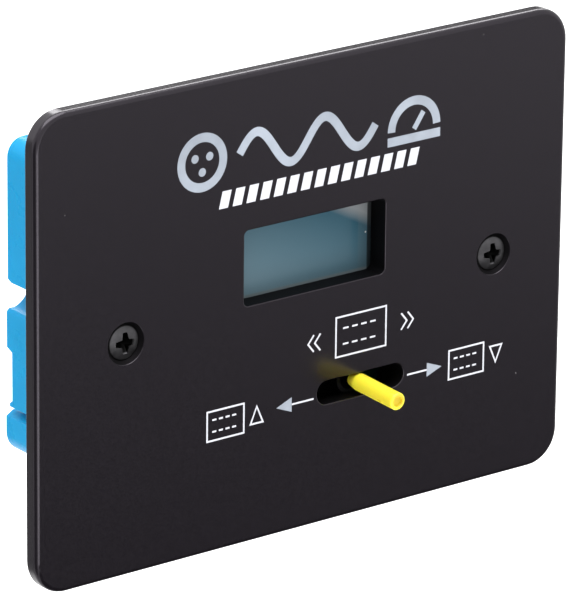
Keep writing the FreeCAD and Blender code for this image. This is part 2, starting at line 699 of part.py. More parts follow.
def capacitor_sleeve():
    outer = rod(CAN_X, CAN_Z, MAIN_BACK + 0.2, MAIN_BACK + CAN_H - 0.2, CAN_R)
    return cut(outer, rod(CAN_X, CAN_Z, MAIN_BACK, MAIN_BACK + CAN_H + 1, CAN_R - SLEEVE_T + 0.01))


def crystal():
    can = centred(CRYSTAL_X, CRYSTAL_Z, 10.4, 3.8, MAIN_BACK + 0.4, MAIN_BACK + 3.6, 1.85)
    foot = centred(CRYSTAL_X, CRYSTAL_Z, 11.2, 4.6, MAIN_BACK, MAIN_BACK + 0.4, 2.25)
    return joined(can, foot)


def chips(places, height):
    """Ceramic chips, 2.0 x 1.25 mm, standing on the main board."""
    return Part.makeCompound([centred(x, z, 2.0, 1.25, MAIN_BACK, MAIN_BACK + height) for x, z in places])


def chip_resistors():
    return chips(RESISTOR_PLACES, 0.5)


def chip_capacitors():
    return chips(CAPACITOR_PLACES, 1.1)


# ---- toggle switch


def over_switch(w, h, y0, y1, corner=0.0):
    return centred(TOGGLE_X, TOGGLE_Z, w, h, y0, y1, corner)


def switch_body():
    cup = over_switch(SWITCH_W, SWITCH_H, SWITCH_FRONT, MAIN_BOARD_Y, 0.5)
    hollow = over_switch(SWITCH_W - 2.0, SWITCH_H - 1.8, SWITCH_FRONT - 1, MAIN_BOARD_Y - 1.1)
    slots = [centred(x, z, 1.1, 0.75, MAIN_BOARD_Y - 2, MAIN_BOARD_Y + 1) for x, z in switch_pins()]
    return cut(cup, hollow, *slots)


def switch_frame():
    """A steel cover with the threaded neck that the lever passes through, and straps down its sides."""
    cover = over_switch(SWITCH_W, SWITCH_H + 0.8, SWITCH_FRONT - COVER_T, SWITCH_FRONT)
    neck = rod(TOGGLE_X, TOGGLE_Z, NECK_FRONT, SWITCH_FRONT - 0.4, NECK_R)
    strap_z = SWITCH_H / 2 + 0.21
    straps = [
        centred(TOGGLE_X, TOGGLE_Z + side * strap_z, 6.0, 0.38, SWITCH_FRONT - COVER_T, 9.0) for side in (-1, 1)
    ]
    bore = rod(TOGGLE_X, TOGGLE_Z, PIVOT_Y - 1.0, SWITCH_FRONT + 1, BALL_R + 0.1)
    waist_r = LEVER_R + 0.47
    waist = rod(TOGGLE_X, TOGGLE_Z, PIVOT_Y - 1.4, PIVOT_Y - 0.9, waist_r)
    mouth = taper(TOGGLE_X, TOGGLE_Z, NECK_FRONT - 0.2, waist_r + 0.82, PIVOT_Y - 1.4, waist_r)
    grooves = []
    for i in range(5):
        y = NECK_FRONT + 0.6 + i * 0.7
        ring = rod(TOGGLE_X, TOGGLE_Z, y, y + 0.3, NECK_R + 0.5)
        grooves.append(ring.cut(rod(TOGGLE_X, TOGGLE_Z, y - 1, y + 1, NECK_R - 0.25)))
    return cut(joined(cover, neck, *straps), bore, waist, mouth, *grooves)


def switch_terminals():
    """The end contacts and the middle fulcrum, each running back through the main board."""
    pieces = []
    for x, z in switch_pins():
        fulcrum = x == TOGGLE_X
        head_w, head_y = (0.6, ROCKER_Y + ROCKER_T + 0.1) if fulcrum else (2.0, ROCKER_Y + ROCKER_T + 0.9)
        inward = TOGGLE_X + (x - TOGGLE_X) * 0.82
        head = centred(inward, z, head_w, 1.6, head_y, MAIN_BOARD_Y - 1.15)
        leg = centred(x, z, 1.0, 0.65, MAIN_BOARD_Y - 1.3, MAIN_BACK + 1.8)
        pieces.append(joined(head, leg))
    return Part.makeCompound(pieces)


def toggle_lever():
    stick = rod(TOGGLE_X, TOGGLE_Z, LEVER_END, PIVOT_Y, LEVER_R)
    stick = stick.makeChamfer(0.3, [e for e in stick.Edges if e.BoundBox.YMax < LEVER_END + 0.01])
    ball = Part.makeSphere(BALL_R, V(TOGGLE_X, PIVOT_Y, TOGGLE_Z))
    tang = rod(TOGGLE_X, TOGGLE_Z, PIVOT_Y, TANG_END, TANG_R)
    return joined(stick, ball, tang)


def switch_plunger():
    stem = rod(TOGGLE_X, TOGGLE_Z, TANG_END, PLUNGER_END, PLUNGER_R)
    return joined(stem, Part.makeSphere(PLUNGER_R, V(TOGGLE_X, PLUNGER_END, TOGGLE_Z)))


def switch_rocker():
    back = ROCKER_Y + ROCKER_T
    plate = over_switch(8.2, 3.0, ROCKER_Y, back)
    bumps = [centred(TOGGLE_X + side * 3.6, TOGGLE_Z, 0.7, 1.6, back - 0.1, back + 0.35) for side in (-1, 1)]
    return joined(plate, *bumps)


def lever_cap():
    """A plastic cap, slipped on the lever; it swells from its base and hangs a little below the axis."""
    droop = math.radians(CAP_DROOP)
    length = (CAP_BASE_Y - CAP_TIP_Y) / math.cos(droop)
    swell = CAP_BASE_Y - CAP_FULL_Y
    round_r = 0.45
    corners = [V(0, 0, 0), V(CAP_BASE_R, 0, 0), V(CAP_R, -swell, 0), V(CAP_R, round_r - length, 0)]
    inner = V(CAP_R - round_r, -length, 0)
    turn = round_r * (1 - math.sqrt(0.5))
    nose = Part.Arc(corners[-1], V(CAP_R - turn, turn - length, 0), inner).toShape()
    floor = CAP_DIMPLE - length
    dimple = [inner, V(CAP_DIMPLE_R, -length, 0), V(CAP_DIMPLE_R - 0.2, floor, 0), V(0, floor, 0), V(0, 0, 0)]
    sides = [Part.makeLine(a, b) for a, b in zip(corners, corners[1:])]
    sides += [nose] + [Part.makeLine(a, b) for a, b in zip(dimple, dimple[1:])]
    cap = Part.Face(Part.Wire(sides)).revolve(V(0, 0, 0), V(0, 1, 0), 360)
    cap.rotate(V(0, 0, 0), V(1, 0, 0), CAP_DROOP)
    cap.translate(V(TOGGLE_X, CAP_BASE_Y, TOGGLE_Z + (CAP_BASE_Y - PLATE_FRONT) * math.tan(droop)))
    return cut(cap, rod(TOGGLE_X, TOGGLE_Z, LEVER_END - FIT, CAP_BASE_Y + 1, LEVER_R + 0.02))


def right_swing_clamp():
    return half_turn(swing_clamp())


def right_clamp_screw():
    return half_turn(clamp_screw())


PARTS = {
    "faceplate": faceplate,
    "plate_screws": plate_screws,
    "wall_bracket": wall_bracket,
    "swing_clamp_left": swing_clamp,
    "clamp_screw_left": clamp_screw,
    "swing_clamp_right": right_swing_clamp,
    "clamp_screw_right": right_clamp_screw,
    "display_board": display_board,
    "display_bezel": display_bezel,
    "display_polariser": display_polariser,
    "display_glass": display_glass,
    "display_backlight": display_backlight,
    "zebra_strips": zebra_strips,
    "display_drivers": display_drivers,
    "display_screws": display_screws,
    "board_header": board_header,
    "header_pins": header_pins,
    "main_board": main_board,
    "main_board_screws": main_board_screws,
    "cable_jack": cable_jack,
    "jack_contacts": jack_contacts,
    "controller_chip": controller_chip,
    "controller_leads": controller_leads,
    "voltage_regulator": voltage_regulator,
    "regulator_leads": regulator_leads,
    "capacitor_can": capacitor_can,
    "capacitor_sleeve": capacitor_sleeve,
    "crystal": crystal,
    "chip_resistors": chip_resistors,
    "chip_capacitors": chip_capacitors,
    "switch_body": switch_body,
    "switch_frame": switch_frame,
    "switch_terminals": switch_terminals,
    "toggle_lever": toggle_lever,
    "lever_cap": lever_cap,
    "switch_plunger": switch_plunger,
    "switch_rocker": switch_rocker,
}


os.makedirs("parts", exist_ok=True)
for name, make in PARTS.items():
    shape = make()
    assert shape.isValid(), name
    assert shape.Solids and all(s.isClosed() and s.Volume > 0 for s in shape.Solids), name
    box_mm = shape.BoundBox
    print(
        f"{name:20s} solids {len(shape.Solids):2d}  volume {shape.Volume:10.2f}"
        f"  x {box_mm.XMin:7.2f} {box_mm.XMax:7.2f}  y {box_mm.YMin:7.2f} {box_mm.YMax:7.2f}"
        f"  z {box_mm.ZMin:7.2f} {box_mm.ZMax:7.2f}"
    )
    shape.exportStep(f"parts/{name}.step")
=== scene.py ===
"""Looks for the flush-mounted power display. Metres, in the part's frame: X right, Y into the wall, Z up."""

import json
import math

import bmesh
import bpy
from mathutils import Matrix, Vector


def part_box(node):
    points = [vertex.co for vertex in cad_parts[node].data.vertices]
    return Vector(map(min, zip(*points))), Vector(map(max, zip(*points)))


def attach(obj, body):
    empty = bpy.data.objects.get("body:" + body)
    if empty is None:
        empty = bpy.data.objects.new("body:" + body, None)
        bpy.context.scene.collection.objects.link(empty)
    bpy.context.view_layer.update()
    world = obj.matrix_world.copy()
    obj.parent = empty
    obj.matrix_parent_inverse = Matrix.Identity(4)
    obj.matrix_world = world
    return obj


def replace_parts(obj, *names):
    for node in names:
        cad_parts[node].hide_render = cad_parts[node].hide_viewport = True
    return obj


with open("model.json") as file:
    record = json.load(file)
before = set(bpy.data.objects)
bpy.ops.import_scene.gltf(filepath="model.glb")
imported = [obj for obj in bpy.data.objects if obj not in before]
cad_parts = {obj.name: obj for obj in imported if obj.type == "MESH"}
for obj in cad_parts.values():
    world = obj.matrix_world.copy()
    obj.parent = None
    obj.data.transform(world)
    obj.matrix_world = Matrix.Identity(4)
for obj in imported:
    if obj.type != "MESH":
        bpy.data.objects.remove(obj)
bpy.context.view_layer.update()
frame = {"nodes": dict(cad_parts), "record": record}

MM = 0.001
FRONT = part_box("faceplate")[0].y / MM  # the plate's face, in millimetres
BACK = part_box("wall_bracket")[0].y / MM  # the plate's back, where the bracket's flange meets it
WHITE = (1.0, 1.0, 1.0, 1.0)

# ---------------------------------------------------------------- camera

CAMERA_LEFT = math.radians(37.66)  # how far the camera stands round to the left
CAMERA_UP = math.radians(19.30)
CAMERA_ROLL = math.radians(0.6155)
CAMERA_DISTANCE = 1.0573
CAMERA_AIM = Vector((-0.00229, 0.00114, -0.00141))
CAMERA_LENS = 352.26  # millimetres
SENSOR = 36.0  # millimetres, along the picture's longer side
CLIP_START = 0.05


def add_camera():
    forward = Vector(
        (
            math.sin(CAMERA_LEFT) * math.cos(CAMERA_UP),
            math.cos(CAMERA_LEFT) * math.cos(CAMERA_UP),
            -math.sin(CAMERA_UP),
        )
    )
    right = Vector((math.cos(CAMERA_LEFT), -math.sin(CAMERA_LEFT), 0.0))
    up = right.cross(forward)
    c, s = math.cos(CAMERA_ROLL), math.sin(CAMERA_ROLL)
    right, up = right * c + up * s, up * c - right * s
    data = bpy.data.cameras.new("camera")
    data.lens = CAMERA_LENS
    data.sensor_width = SENSOR
    data.clip_start = CLIP_START
    camera = bpy.data.objects.new("camera", data)
    pose = Matrix((right, up, -forward)).transposed().to_4x4()
    pose.translation = CAMERA_AIM - forward * CAMERA_DISTANCE
    camera.matrix_world = pose
    bpy.context.scene.collection.objects.link(camera)
    bpy.context.scene.camera = camera


# ---------------------------------------------------------------- lights, surroundings and floor

# Name, place, width, height and watts. Each softbox faces the origin.
SOFTBOXES = (
    ("top", (-0.05, -0.15, 0.75), 0.9, 0.7, 9.0),
    ("back", (0.577, 0.60, 0.62), 0.8, 0.36, 5.0),
    ("front", (0.03, -0.94, -0.33), 0.7, 0.22, 1.5),
)

FRONT_STRENGTH = 1.12
BACK_STRENGTH = 1.45
BACKWARD = (0.0, 1.0, 0.0)
RISE_START, RISE_END = 0.0, 0.7  # the strength rises between these cosines from straight backward

# Dark screens: direction, the cosines where one begins and is full, and the share of light that it leaves.
SCREENS = (
    ((0.35, -0.45, -0.82), 0.755, 0.83, 0.03),  # the dim floor in front
    ((-0.85, -0.40, -0.33), 0.78, 0.90, 0.15),  # to the left
    ((0.577, 0.747, 0.26), 0.955, 0.99, 0.12),  # a strip behind the plate, under the back light
    ((-0.577, 0.747, -0.331), 0.86, 0.95, 0.3),  # behind on the left, where the plate's left wall faces
)

FLOOR_Z = -0.26
FLOOR_SIZE = 8.0
FLOOR_COLOUR = (0.85, 0.85, 0.85, 1.0)
FLOOR_ROUGHNESS = 0.9
FLOOR_GLOW = 0.55


def add_softbox(name, place, width, height, power):
    data = bpy.data.lights.new(name, "AREA")
    data.shape = "RECTANGLE"
    data.size = width
    data.size_y = height
    data.energy = power
    light = bpy.data.objects.new(name, data)
    aim = (-Vector(place)).to_track_quat("-Z", "Y").to_matrix().to_4x4()
    light.matrix_world = Matrix.Translation(place) @ aim
    light.visible_camera = False
    bpy.context.scene.collection.objects.link(light)


def add_world():
    """White surroundings, brighter behind the plate, with the dark screens in them."""
    world = bpy.data.worlds.new("studio")
    bpy.context.scene.world = world
    world.use_nodes = True
    tree = world.node_tree
    background = tree.nodes["Background"]
    coords = tree.nodes.new("ShaderNodeTexCoord")

    def slope(direction, start, end, low, high):
        along = tree.nodes.new("ShaderNodeVectorMath")
        along.operation = "DOT_PRODUCT"
        along.inputs[1].default_value = Vector(direction).normalized()
        shade = tree.nodes.new("ShaderNodeMapRange")
        shade.interpolation_type = "SMOOTHSTEP"
        shade.inputs["From Min"].default_value = start
        shade.inputs["From Max"].default_value = end
        shade.inputs["To Min"].default_value = low
        shade.inputs["To Max"].default_value = high
        tree.links.new(coords.outputs["Generated"], along.inputs[0])
        tree.links.new(along.outputs["Value"], shade.inputs["Value"])
        return shade.outputs["Result"]

    total = slope(BACKWARD, RISE_START, RISE_END, FRONT_STRENGTH, BACK_STRENGTH)
    for direction, begins, full, left in SCREENS:
        product = tree.nodes.new("ShaderNodeMath")
        product.operation = "MULTIPLY"
        tree.links.new(total, product.inputs[0])
        tree.links.new(slope(direction, begins, full, 1.0, left), product.inputs[1])
        total = product.outputs[0]
    tree.links.new(total, background.inputs["Strength"])
    background.inputs["Color"].default_value = WHITE


def add_floor():
    bpy.ops.mesh.primitive_plane_add(size=FLOOR_SIZE, location=(0.0, 0.0, FLOOR_Z))
    floor = bpy.context.object
    floor.name = "floor"
    mat = bpy.data.materials.new("floor_white")
    mat.use_nodes = True
    shader = mat.node_tree.nodes["Principled BSDF"]
    shader.inputs["Base Color"].default_value = FLOOR_COLOUR
    shader.inputs["Roughness"].default_value = FLOOR_ROUGHNESS
    shader.inputs["Emission Color"].default_value = WHITE
    shader.inputs["Emission Strength"].default_value = FLOOR_GLOW
    floor.data.materials.append(mat)
    floor.visible_glossy = False


bpy.context.scene.view_settings.view_transform = "Standard"
add_camera()
add_world()
add_floor()
for softbox in SOFTBOXES:
    add_softbox(*softbox)

# ---------------------------------------------------------------- material building blocks

NOISE_LOW, NOISE_HIGH = 0.3, 0.7  # a noise texture mostly lies between these
FINE_DETAIL = 4.0
SPECK_FULL, SPECK_EDGE = 0.02, 0.06  # a speck's size, as a share of its cell


class Material:
    """A node material whose patterns follow the object's own coordinates, in metres."""

    def __init__(self, name, colour, roughness, metallic=0.0, specular=0.5):
        self.mat = bpy.data.materials.new(name)
        self.mat.use_nodes = True
        self.tree = self.mat.node_tree
        self.shader = self.tree.nodes["Principled BSDF"]
        self.set("Base Color", (*colour, 1.0))
        self.set("Roughness", roughness)
        self.set("Metallic", metallic)
        self.set("Specular IOR Level", specular)
        self.colour = colour
        self.roughness = roughness
        self.specular = specular
        self.place = self.node("ShaderNodeTexCoord").outputs["Object"]

    def node(self, kind, **settings):
        made = self.tree.nodes.new(kind)
        for key, value in settings.items():
            setattr(made, key, value)
        return made

    def link(self, source, target):
        self.tree.links.new(source, target)

    def set(self, socket, value):
        self.shader.inputs[socket].default_value = value

    def coordinate(self, axis):
        parts = self.node("ShaderNodeSeparateXYZ")
        self.link(self.place, parts.inputs[0])
        return parts.outputs[axis]

    def maths(self, operation, first, second):
        made = self.node("ShaderNodeMath", operation=operation)
        for socket, value in zip(made.inputs, (first, second)):
            if isinstance(value, float):
                socket.default_value = value
            else:
                self.link(value, socket)
        return made.outputs[0]

    def squares(self, first, second):
        """The sum of the squares of two values."""
        return self.maths("ADD", self.maths("MULTIPLY", first, first), self.maths("MULTIPLY", second, second))

    def along(self, origin, direction):
        """How far a point lies from the origin, along the direction."""
        offset = self.node("ShaderNodeVectorMath", operation="SUBTRACT")
        self.link(self.place, offset.inputs[0])
        offset.inputs[1].default_value = origin
        made = self.node("ShaderNodeVectorMath", operation="DOT_PRODUCT")
        self.link(offset.outputs[0], made.inputs[0])
        made.inputs[1].default_value = direction
        return made.outputs["Value"]

    def noise(self, scale, detail=3.0):
        made = self.node("ShaderNodeTexNoise")
        made.inputs["Scale"].default_value = scale
        made.inputs["Detail"].default_value = detail
        self.link(self.place, made.inputs["Vector"])
        return made.outputs["Fac"]

    def ranged(self, value, low, high, from_low=NOISE_LOW, from_high=NOISE_HIGH):
        """The value carried from one range into another, and held at its ends."""
        made = self.node("ShaderNodeMapRange")
        made.inputs["From Min"].default_value = from_low
        made.inputs["From Max"].default_value = from_high
        made.inputs["To Min"].default_value = low
        made.inputs["To Max"].default_value = high
        self.link(value, made.inputs["Value"])
        return made.outputs["Result"]

    def tint(self, share, first, second):
        """One colour fading into another. Each is a tuple or a socket."""
        made = self.node("ShaderNodeMix", data_type="RGBA")
        self.link(share, made.inputs["Factor"])
        for name, colour in (("A", first), ("B", second)):
            socket = [s for s in made.inputs if s.name == name and s.type == "RGBA"][0]
            if isinstance(colour, tuple):
                socket.default_value = (*colour, 1.0)
            else:
                self.link(colour, socket)
        return [s for s in made.outputs if s.type == "RGBA"][0]

    def blend(self, share, first, second):
        """One value fading into another. Each is a float or a socket."""
        made = self.node("ShaderNodeMix", data_type="FLOAT")
        self.link(share, made.inputs[0])
        for socket, value in ((made.inputs[2], first), (made.inputs[3], second)):
            if isinstance(value, float):
                socket.default_value = value
            else:
                self.link(value, socket)
        return made.outputs[0]

    def paint(self, colour):
        self.link(colour, self.shader.inputs["Base Color"])
        return self

    def painted(self):
        """The base colour as it stands: a socket, or a tuple while nothing is linked."""
        links = self.shader.inputs["Base Color"].links
        return links[0].from_socket if links else self.colour

    def vary_colour(self, scale, spread):
        """The base colour drifts by a fraction either way."""
        darker = tuple(c * (1 - spread) for c in self.colour)
        lighter = tuple(min(1.0, c * (1 + spread)) for c in self.colour)
        return self.paint(self.tint(self.ranged(self.noise(scale), 0.0, 1.0), darker, lighter))

    def vary_roughness(self, scale, spread):
        noise = self.noise(scale, FINE_DETAIL)
        rough = self.ranged(noise, self.roughness - spread, self.roughness + spread)
        self.link(rough, self.shader.inputs["Roughness"])
        return self

    def bump(self, height, depth):
        made = self.node("ShaderNodeBump")
        made.inputs["Strength"].default_value = 1.0
        made.inputs["Distance"].default_value = depth
        self.link(height, made.inputs["Height"])
        previous = self.shader.inputs["Normal"].links
        if previous:
            self.link(previous[0].from_socket, made.inputs["Normal"])
        self.link(made.outputs["Normal"], self.shader.inputs["Normal"])
        return self

    def grain(self, scale, depth, detail=2.0):
        return self.bump(self.noise(scale, detail), depth)

    def soft(self, radius, weight):
        """Light sinks a little way in, as it does in pale plastic. The radius is in millimetres."""
        self.set("Subsurface Weight", weight)
        self.set("Subsurface Radius", radius)
        self.set("Subsurface Scale", MM)
        return self

    def dust(self, scale, share, colour):
        """Scattered pale specks, in a share of the cells of a fine pattern."""
        made = self.node("ShaderNodeTexVoronoi")
        made.inputs["Scale"].default_value = scale
        self.link(self.place, made.inputs["Vector"])
        near = self.ranged(made.outputs["Distance"], 1.0, 0.0, SPECK_FULL, SPECK_EDGE)
        spread = self.node("ShaderNodeSeparateColor")
        self.link(made.outputs["Color"], spread.inputs[0])
        chosen = self.maths("LESS_THAN", spread.outputs[0], share)
        return self.paint(self.tint(self.maths("MULTIPLY", near, chosen), self.painted(), colour))


def moulded(name, colour, roughness, depth=0.000008, spread=0.08):
    """Moulded plastic with a fine grain of the given depth."""
    made = Material(name, colour, roughness)
    made.vary_colour(scale=120.0, spread=spread)
    made.vary_roughness(scale=400.0, spread=0.05)
    return made.grain(scale=2500.0, depth=depth)


def metal(name, colour, roughness, spread=0.06):
    made = Material(name, colour, roughness, metallic=1.0)
    made.vary_colour(scale=300.0, spread=spread)
    made.vary_roughness(scale=900.0, spread=0.08)
    return made.grain(scale=3000.0, depth=0.000004)


# ---------------------------------------------------------------- faceplate and bracket

PLATE_BLACK = (0.0046, 0.0036, 0.0052)
PLATE_SHEEN = (0.96, 0.88, 1.0, 1.0)
PLATE_DUST = (0.28, 0.27, 0.28)
OUTER_BAND = 5.0  # millimetres; the polished outer wall lies this close to the plate's outline
# The darker black painted in the plate's openings, on its back and behind it: painted shade.
PAINTED_SHADE_BLACK = (0.0018, 0.0017, 0.0019)
MATT_ROUGHNESS = 0.6
MATT_SPECULAR = 0.08
MATT_SHADE_START, MATT_SHADE_FULL = 0.04, 0.12  # millimetres from the face, or from the back; the matt finish and the painted shade set in and are full between these


def plate_material():
    """Polished on the face and the outer wall; matt in its openings, on its back and behind it, where it is
    also painted a darker black as painted shade.
    """
    made = Material("plate_plastic", PLATE_BLACK, 0.21)
    made.set("Specular Tint", PLATE_SHEEN)
    made.vary_colour(scale=900.0, spread=0.12)
    made.vary_roughness(scale=2600.0, spread=0.03)
    depth = made.coordinate(1)
    matt_and_shade = made.ranged(depth, 0.0, 1.0, (FRONT + MATT_SHADE_START) * MM, (FRONT + MATT_SHADE_FULL) * MM)
    low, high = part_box("faceplate")
    for axis in (0, 2):
        offset = made.maths("SUBTRACT", made.coordinate(axis), (low[axis] + high[axis]) / 2)
        reach = made.maths("ABSOLUTE", offset, 0.0)
        limit = (high[axis] - low[axis]) / 2 - OUTER_BAND * MM
        matt_and_shade = made.maths("MULTIPLY", matt_and_shade, made.maths("LESS_THAN", reach, limit))
    behind = made.ranged(depth, 0.0, 1.0, (BACK - MATT_SHADE_FULL) * MM, (BACK - MATT_SHADE_START) * MM)
    matt_and_shade = made.maths("MAXIMUM", matt_and_shade, behind)
    polish = made.shader.inputs["Roughness"].links[0].from_socket
    made.link(made.blend(matt_and_shade, polish, MATT_ROUGHNESS), made.shader.inputs["Roughness"])
    made.link(made.blend(matt_and_shade, made.specular, MATT_SPECULAR), made.shader.inputs["Specular IOR Level"])
    # Painted shade: the openings, the back and what lies behind the plate turn a darker black.
    made.paint(made.tint(matt_and_shade, made.painted(), PAINTED_SHADE_BLACK))
    made.grain(scale=3200.0, depth=0.000004, detail=3.0)
    return made.dust(scale=420.0, share=0.035, colour=PLATE_DUST)


def bracket_material():
    made = Material("bracket_plastic", (0.004, 0.245, 0.48), 0.30, specular=0.15)
    made.vary_colour(scale=90.0, spread=0.05)
    made.vary_roughness(scale=300.0, spread=0.05)
    made.grain(scale=2800.0, depth=0.0000012, detail=1.0)
    return made.soft(radius=(0.2, 0.6, 1.2), weight=0.15)


# ---------------------------------------------------------------- display

FILM_X = (-0.016, 0.016)  # the colour changes across between these
FILM_Z = (0.001, 0.016)  # and upward between these
# The film is painted paler toward the lower left: a painted reflection.
FILM_UPPER_RIGHT = (0.0005, 0.053, 0.088)
FILM_REFLECTION_LOWER_LEFT = (0.128, 0.200, 0.238)
MARGIN_X = (0.0137, 0.0140)  # a paler margin sets in here and runs to the right
MARGIN_X_COLOUR, MARGIN_X_SHARE = (0.09, 0.125, 0.14), 0.25
MARGIN_Z = (0.0013, 0.0016)  # another sets in here and runs down
MARGIN_Z_COLOUR, MARGIN_Z_SHARE = (0.13, 0.15, 0.155), 0.8
REFLECTION_PLACE = Vector((0.0094, 0.0, 0.0129))  # a painted reflection fills the corner above a line through here
REFLECTION_ACROSS = Vector((0.46, 0.0, 0.89))
REFLECTION_REACH = (-0.0004, 0.0018)
REFLECTION_COLOUR, REFLECTION_SHARE = (0.27, 0.28, 0.285), 0.85
BORDER_X = (0.0158, 0.0160)  # a near-black band along the right edge
BORDER_COLOUR, BORDER_SHARE = (0.012, 0.014, 0.015), 0.9
FILM_DUST = (0.6, 0.6, 0.6)


def film_material():
    """Teal, bluest at the upper right and painted paler toward the lower left as a painted reflection, with
    pale margins on the right and below, a painted reflection in the upper right corner and a near-black band
    along the right edge.
    """
    made = Material("display_film", FILM_UPPER_RIGHT, 0.10, specular=0.32)
    x, z = made.coordinate(0), made.coordinate(2)
    # Paler toward the lower left: a painted reflection.
    place = made.maths("ADD", made.ranged(x, 0.5, 0.0, *FILM_X), made.ranged(z, 0.5, 0.0, *FILM_Z))
    body = made.tint(place, FILM_UPPER_RIGHT, FILM_REFLECTION_LOWER_LEFT)
    body = made.tint(made.ranged(x, 0.0, MARGIN_X_SHARE, *MARGIN_X), body, MARGIN_X_COLOUR)
    body = made.tint(made.ranged(z, MARGIN_Z_SHARE, 0.0, *MARGIN_Z), body, MARGIN_Z_COLOUR)
    # A painted reflection in the upper right corner.
    corner_reflection = made.ranged(made.along(REFLECTION_PLACE, REFLECTION_ACROSS), 0.0, REFLECTION_SHARE, *REFLECTION_REACH)
    body = made.tint(corner_reflection, body, REFLECTION_COLOUR)
    made.paint(made.tint(made.ranged(x, 0.0, BORDER_SHARE, *BORDER_X), body, BORDER_COLOUR))
    made.dust(scale=260.0, share=0.06, colour=FILM_DUST)
    made.vary_roughness(scale=300.0, spread=0.02)
    return made.grain(scale=1200.0, depth=0.0000006)


# ---------------------------------------------------------------- plate screws, cap and board

SCREW_LOW, SCREW_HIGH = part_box("plate_screws")
HEAD_R = (SCREW_HIGH.z - SCREW_LOW.z) / 2
HEAD_EDGE, HEAD_RIM = 0.91, 0.96  # shares of the head's radius, between which it turns black: painted shade of the gap round the head
HEAD_DOME = 0.0007  # how far the head bulges at its middle
RECESS_START, RECESS_FULL = 0.0001, 0.0003  # depth below the domed head
SCREW_WORN = (0.085, 0.083, 0.088)
SCREW_BLACK_AND_SHADE = (0.006, 0.006, 0.006)


def screw_material():
    """Blackened steel, worn grey on the head and black in the cross; the head's edge is painted black too, as
    painted shade of the gap round it.
    """
    made = metal("screw_black", SCREW_WORN, 0.5, spread=0.35)
    spacing = (SCREW_HIGH.x - SCREW_LOW.x) / 2 - HEAD_R
    middle_x = (SCREW_HIGH.x + SCREW_LOW.x) / 2
    middle_z = (SCREW_HIGH.z + SCREW_LOW.z) / 2
    offset = made.maths("ABSOLUTE", made.maths("SUBTRACT", made.coordinate(0), middle_x), 0.0)
    x = made.maths("SUBTRACT", offset, spacing)
    z = made.maths("SUBTRACT", made.coordinate(2), middle_z)
    squares = made.squares(x, z)
    # The head's edge turns black: painted shade of the gap round the head.
    gap_shade = made.ranged(made.maths("SQRT", squares, 0.0), 0.0, 1.0, HEAD_R * HEAD_EDGE, HEAD_R * HEAD_RIM)
    dome = made.maths("MULTIPLY", squares, HEAD_DOME / HEAD_R**2)
    depth = made.maths("SUBTRACT", made.maths("SUBTRACT", made.coordinate(1), dome), SCREW_LOW.y)
    deep = made.ranged(depth, 0.0, 1.0, RECESS_START, RECESS_FULL)
    return made.paint(made.tint(made.maths("MAXIMUM", gap_shade, deep), made.painted(), SCREW_BLACK_AND_SHADE))


CAP_LOW, CAP_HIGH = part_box("lever_cap")
CAP_YELLOW = (0.86, 0.74, 0.045)
CAP_GOLD_SHADE = (0.66, 0.49, 0.025)
END_SHADE_R = (0.00118, 0.00128)  # the painted shade on the cap's end fades out between these radii
END_SHADE_DEPTH = 0.0006  # and reaches this far behind the end


def cap_material():
    """Yellow, with a deeper gold painted in the middle of its flat end: painted shade standing in for a
    hollow.
    """
    made = moulded("cap_yellow", CAP_YELLOW, 0.30, depth=0.000005, spread=0.03)
    x = made.maths("SUBTRACT", made.coordinate(0), (CAP_LOW.x + CAP_HIGH.x) / 2)
    z = made.maths("SUBTRACT", made.coordinate(2), (CAP_LOW.z + CAP_HIGH.z) / 2)
    near = made.ranged(made.maths("SQRT", made.squares(x, z), 0.0), 1.0, 0.0, *END_SHADE_R)
    end = made.maths("LESS_THAN", made.coordinate(1), CAP_LOW.y + END_SHADE_DEPTH)
    # The middle of the flat end is painted a deeper gold: painted shade standing in for a hollow.
    made.paint(made.tint(made.maths("MULTIPLY", near, end), made.painted(), CAP_GOLD_SHADE))
    return made.soft(radius=(1.0, 0.45, 0.1), weight=0.25)


WEAVE_SCALE = 600.0
WEAVE_DEPTH = 0.000006


def board_material():
    """Lacquered green board: the glass weave shows as a fine cross-hatch."""
    made = Material("board_green", (0.02, 0.13, 0.06), 0.28)
    made.vary_colour(scale=260.0, spread=0.18)
    made.vary_roughness(scale=900.0, spread=0.05)
    for axis in ("X", "Z"):
        wave = made.node("ShaderNodeTexWave", bands_direction=axis)
        wave.inputs["Scale"].default_value = WEAVE_SCALE
        made.link(made.place, wave.inputs["Vector"])
        made.bump(wave.outputs["Fac"], WEAVE_DEPTH)
    return made


# ---------------------------------------------------------------- the material of each slot

